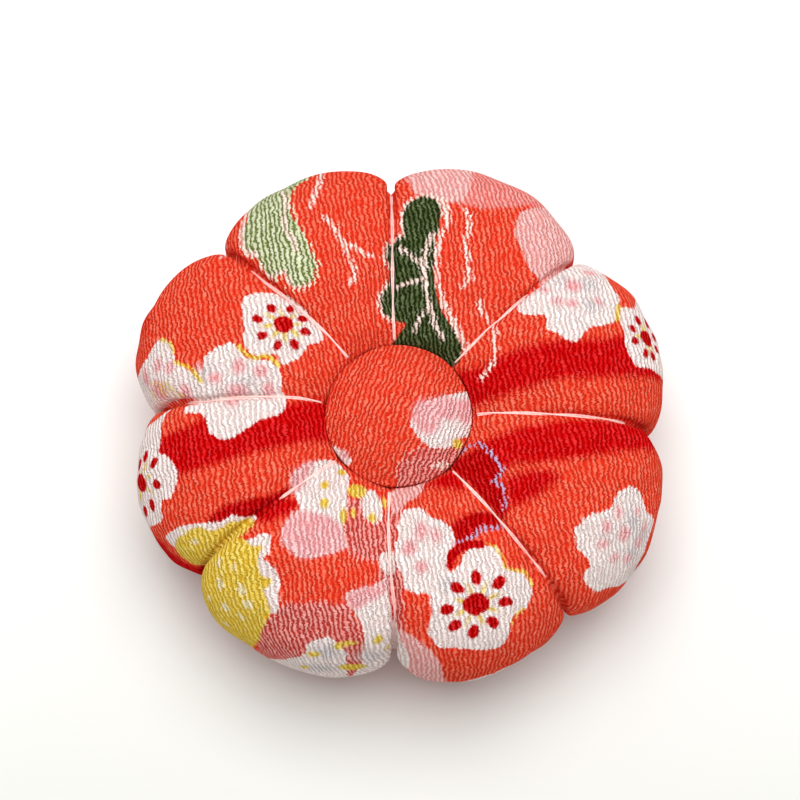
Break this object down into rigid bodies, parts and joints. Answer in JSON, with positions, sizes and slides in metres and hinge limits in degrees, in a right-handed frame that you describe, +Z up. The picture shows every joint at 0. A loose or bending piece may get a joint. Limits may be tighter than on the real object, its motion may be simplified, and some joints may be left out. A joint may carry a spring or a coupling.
{
  "type": "wrist pin cushion",
  "caption": "Stuffed petal-shaped wrist pin cushion of printed crepe, tied with thread round a covered button, on a stiff base with an elastic wrist band folded flat below.",
  "frame": {"origin": "on the button's axis, on the surface the folded band rests on", "axes": "+Z up along the button's axis, X along the wrist band, +Y towards the back petals of the picture"},
  "size_m": [0.0691, 0.0682, 0.0296],
  "materials": {
    "crepe_print": "matte ridged crepe with a blossom print",
    "fibre_fill": "loose fibre",
    "pale_thread": "soft sheen",
    "waxed_thread": "waxed",
    "button_crepe": "matte ridged crepe",
    "button_metal": "satin",
    "shank_wire": "bright wire",
    "guard_plastic": "matte",
    "base_felt": "felt",
    "elastic": "ribbed woven elastic",
    "stitching": "spun thread"
  },
  "bodies": {
    "cushion": {"cushion_cover": "crepe_print", "stuffing": "fibre_fill", "dividing_thread": "pale_thread", "gathering_thread": "pale_thread", "tie_thread": "waxed_thread", "button_cover": "button_crepe", "button_shell": "button_metal", "button_back": "button_metal", "button_shank": "shank_wire", "pin_guard": "guard_plastic", "base_felt": "base_felt", "band_sewn_run": "elastic", "band_bartacks": "stitching"},
    "left_upper": {"band_left_upper": "elastic"},
    "left_lower": {"band_left_lower": "elastic"},
    "bottom_run": {"band_bottom_run": "elastic"},
    "right_upper": {"band_right_upper": "elastic"},
    "right_lower": {"band_right_lower": "elastic"}
  },
  "joints": [
    {"name": "band_open", "type": "hinge", "parent": "cushion", "child": "left_upper", "pos_m": [-0.01, 0, 0.0026], "axis": [0, -1, 0], "range_deg": [0, 60]},
    {"name": "left_fold", "type": "hinge", "parent": "left_upper", "child": "left_lower", "pos_m": [-0.0294, 0, 0.0016], "axis": [0, 1, 0], "range_deg": [0, 120]},
    {"name": "left_bottom", "type": "hinge", "parent": "left_lower", "child": "bottom_run", "pos_m": [-0.01, 0, 0.0006], "axis": [0, -1, 0], "range_deg": [0, 60]},
    {"name": "right_bend", "type": "hinge", "parent": "cushion", "child": "right_upper", "pos_m": [0.01, 0, 0.0026], "axis": [0, 1, 0], "range_deg": [0, 60]},
    {"name": "right_fold", "type": "hinge", "parent": "right_upper", "child": "right_lower", "pos_m": [0.0294, 0, 0.0016], "axis": [0, -1, 0], "range_deg": [0, 120]}
  ],
  "couplings": [
    {"joint": "left_fold", "follows": "band_open", "ratio": 2},
    {"joint": "left_bottom", "follows": "band_open", "ratio": 1},
    {"joint": "right_bend", "follows": "band_open", "ratio": 1},
    {"joint": "right_fold", "follows": "band_open", "ratio": 2}
  ]
}
